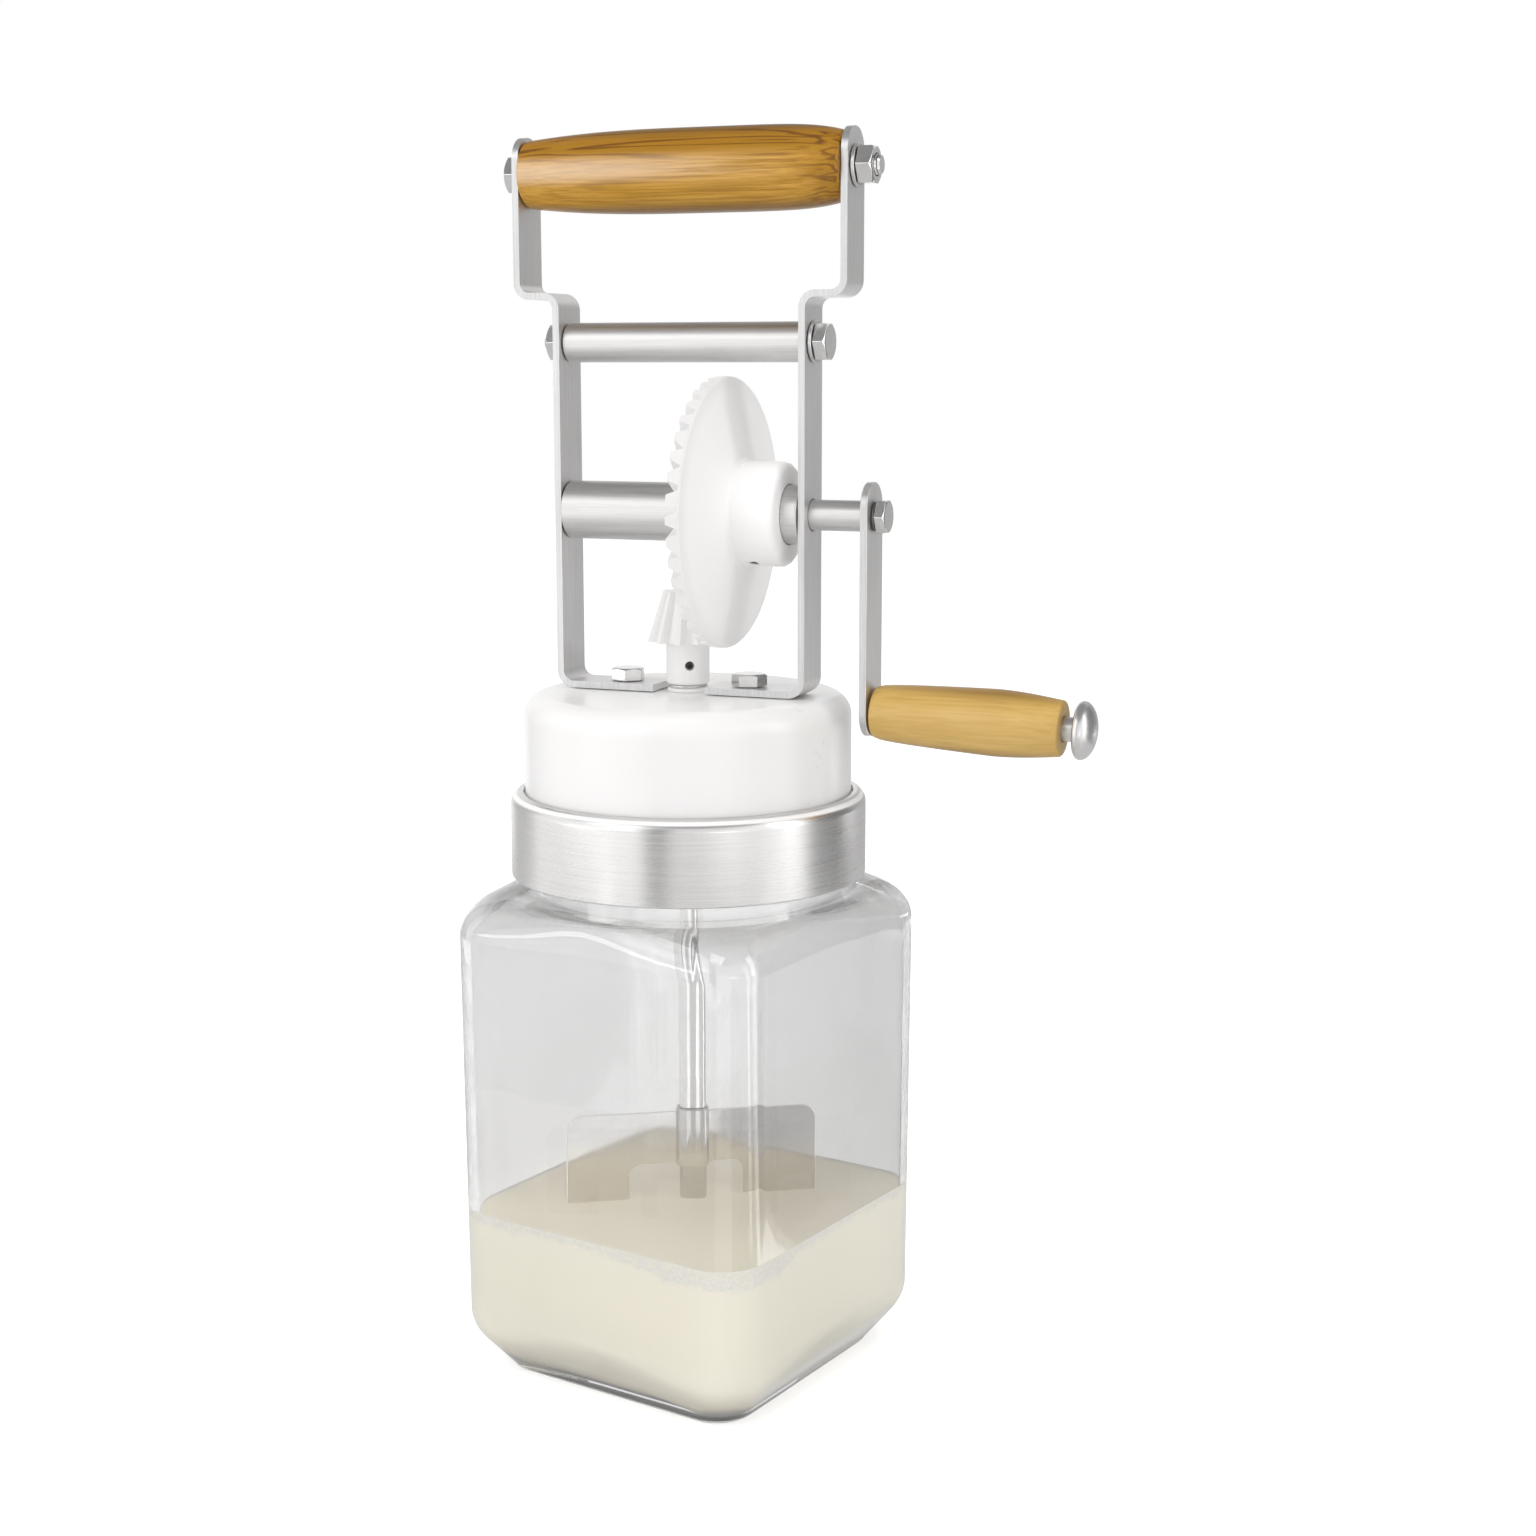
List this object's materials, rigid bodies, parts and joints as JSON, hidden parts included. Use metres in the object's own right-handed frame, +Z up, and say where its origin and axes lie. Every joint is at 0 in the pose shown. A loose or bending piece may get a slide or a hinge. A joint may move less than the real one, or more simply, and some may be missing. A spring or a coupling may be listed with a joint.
{
  "type": "hand cranked butter churn",
  "caption": "Square glass jar with a screw-on lid head: side crank, bevel gear pair and a rotating paddle on a vertical shaft, under a strap frame with a wooden carrying handle.",
  "frame": {"origin": "on the paddle shaft's axis, on the plane the jar stands on", "axes": "+Z up along the paddle shaft, +X along the crank axle towards the crank, +Y completes a right-handed frame"},
  "size_m": [0.2015, 0.1322, 0.4036],
  "materials": {
    "clear_glass": "clear moulded glass",
    "seal_rubber": "matte off-white seal",
    "brushed_steel": "satin brushed stainless steel",
    "polished_steel": "bright polished stainless steel",
    "white_plastic": "white moulded plastic",
    "handle_wood": "varnished golden brown wood",
    "grip_wood": "lighter varnished wood"
  },
  "bodies": {
    "jar": {"glass_jar": "clear_glass"},
    "head": {"lid": "white_plastic", "lid_gasket": "seal_rubber", "shaft_bush": "white_plastic", "frame_strap_left": "brushed_steel", "frame_strap_right": "brushed_steel", "foot_bolt_left": "polished_steel", "foot_bolt_right": "polished_steel", "foot_washer_left": "brushed_steel", "foot_washer_right": "brushed_steel", "foot_nut_left": "polished_steel", "foot_nut_right": "polished_steel", "spacer_tube": "brushed_steel", "spacer_washer": "brushed_steel", "spacer_bolt": "polished_steel", "spacer_nut": "polished_steel", "handle_grip": "handle_wood", "handle_bolt": "polished_steel", "handle_washer": "brushed_steel", "handle_nut": "polished_steel"},
    "band": {"screw_band": "brushed_steel"},
    "crank": {"crank_axle": "brushed_steel", "drive_gear": "white_plastic", "gear_set_screw": "brushed_steel", "crank_arm": "brushed_steel", "crank_washer": "brushed_steel", "crank_bolt": "polished_steel", "grip_pin": "polished_steel"},
    "grip": {"crank_grip": "grip_wood"},
    "dasher": {"paddle_shaft": "polished_steel", "thrust_washer": "brushed_steel", "pinion": "white_plastic", "pinion_set_screw": "brushed_steel", "paddle": "polished_steel"}
  },
  "joints": [
    {"name": "head_lift", "type": "slide", "parent": "jar", "child": "head", "axis": [0, 0, 1], "range_m": [0, 0.19]},
    {"name": "band_turn", "type": "hinge", "parent": "head", "child": "band", "pos_m": [0, 0, 0.18], "axis": [0, 0, 1], "range_deg": [0, 270]},
    {"name": "crank_turn", "type": "hinge", "parent": "head", "child": "crank", "pos_m": [0, 0, 0.284], "axis": [1, 0, 0], "continuous": true},
    {"name": "grip_turn", "type": "hinge", "parent": "crank", "child": "grip", "pos_m": [0.0611, 0, 0.2227], "axis": [0.9994, 0, -0.0349], "continuous": true},
    {"name": "dasher_turn", "type": "hinge", "parent": "head", "child": "dasher", "pos_m": [0, 0, 0.15], "axis": [0, 0, 1], "continuous": true}
  ],
  "couplings": [
    {"joint": "dasher_turn", "follows": "crank_turn", "ratio": 3.6364}
  ]
}
